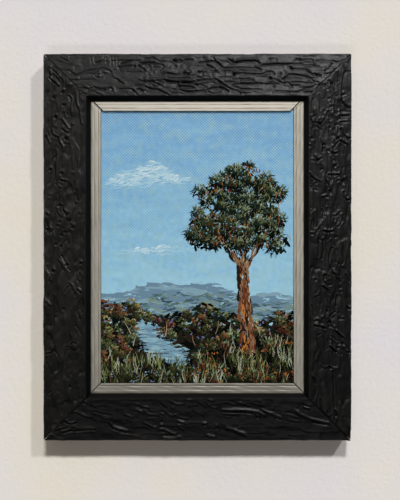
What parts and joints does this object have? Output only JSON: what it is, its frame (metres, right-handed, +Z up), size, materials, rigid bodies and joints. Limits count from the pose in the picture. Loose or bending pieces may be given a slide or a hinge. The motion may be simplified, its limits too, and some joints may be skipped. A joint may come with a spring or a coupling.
{
  "type": "framed painting",
  "caption": "Small upright painting on a canvas panel, in a reeded silver slip and a wide black textured moulding, to hang on a wall",
  "frame": {"origin": "on the wall side of the sawtooth hanger, at its middle, where a nail in the wall carries the frame", "axes": "+Z up the picture, -Y the way the picture faces, +X to the right of someone who looks at it; the wall is the plane Y = 0"},
  "size_m": [0.1984, 0.0223, 0.2492],
  "materials": {
    "gesso": "satin black over raised gesso strokes",
    "silver": "silver leaf, lightly tarnished",
    "canvas": "primed canvas under oil paint",
    "board": "raw hardboard",
    "steel": "bright plated",
    "brass": "plated, slightly dulled",
    "felt": "pressed felt"
  },
  "bodies": {
    "root": {"rail_top": "gesso", "rail_right": "gesso", "rail_bottom": "gesso", "rail_left": "gesso", "slip_top": "silver", "slip_right": "silver", "slip_bottom": "silver", "slip_left": "silver", "canvas": "canvas", "panel_board": "board", "slip_point_top_1": "steel", "slip_point_top_2": "steel", "slip_point_right_1": "steel", "slip_point_right_2": "steel", "slip_point_bottom_1": "steel", "slip_point_bottom_2": "steel", "slip_point_left_1": "steel", "slip_point_left_2": "steel", "panel_point_top_1": "steel", "panel_point_top_2": "steel", "panel_point_right_1": "steel", "panel_point_right_2": "steel", "panel_point_bottom_1": "steel", "panel_point_bottom_2": "steel", "panel_point_left_1": "steel", "panel_point_left_2": "steel", "wedge_nail_top_1": "steel", "wedge_nail_top_2": "steel", "wedge_nail_right_1": "steel", "wedge_nail_right_2": "steel", "wedge_nail_bottom_1": "steel", "wedge_nail_bottom_2": "steel", "wedge_nail_left_1": "steel", "wedge_nail_left_2": "steel", "sawtooth_hanger": "brass", "hanger_nail_left": "steel", "hanger_nail_right": "steel", "bumper_left": "felt", "bumper_right": "felt"}
  },
  "joints": []
}
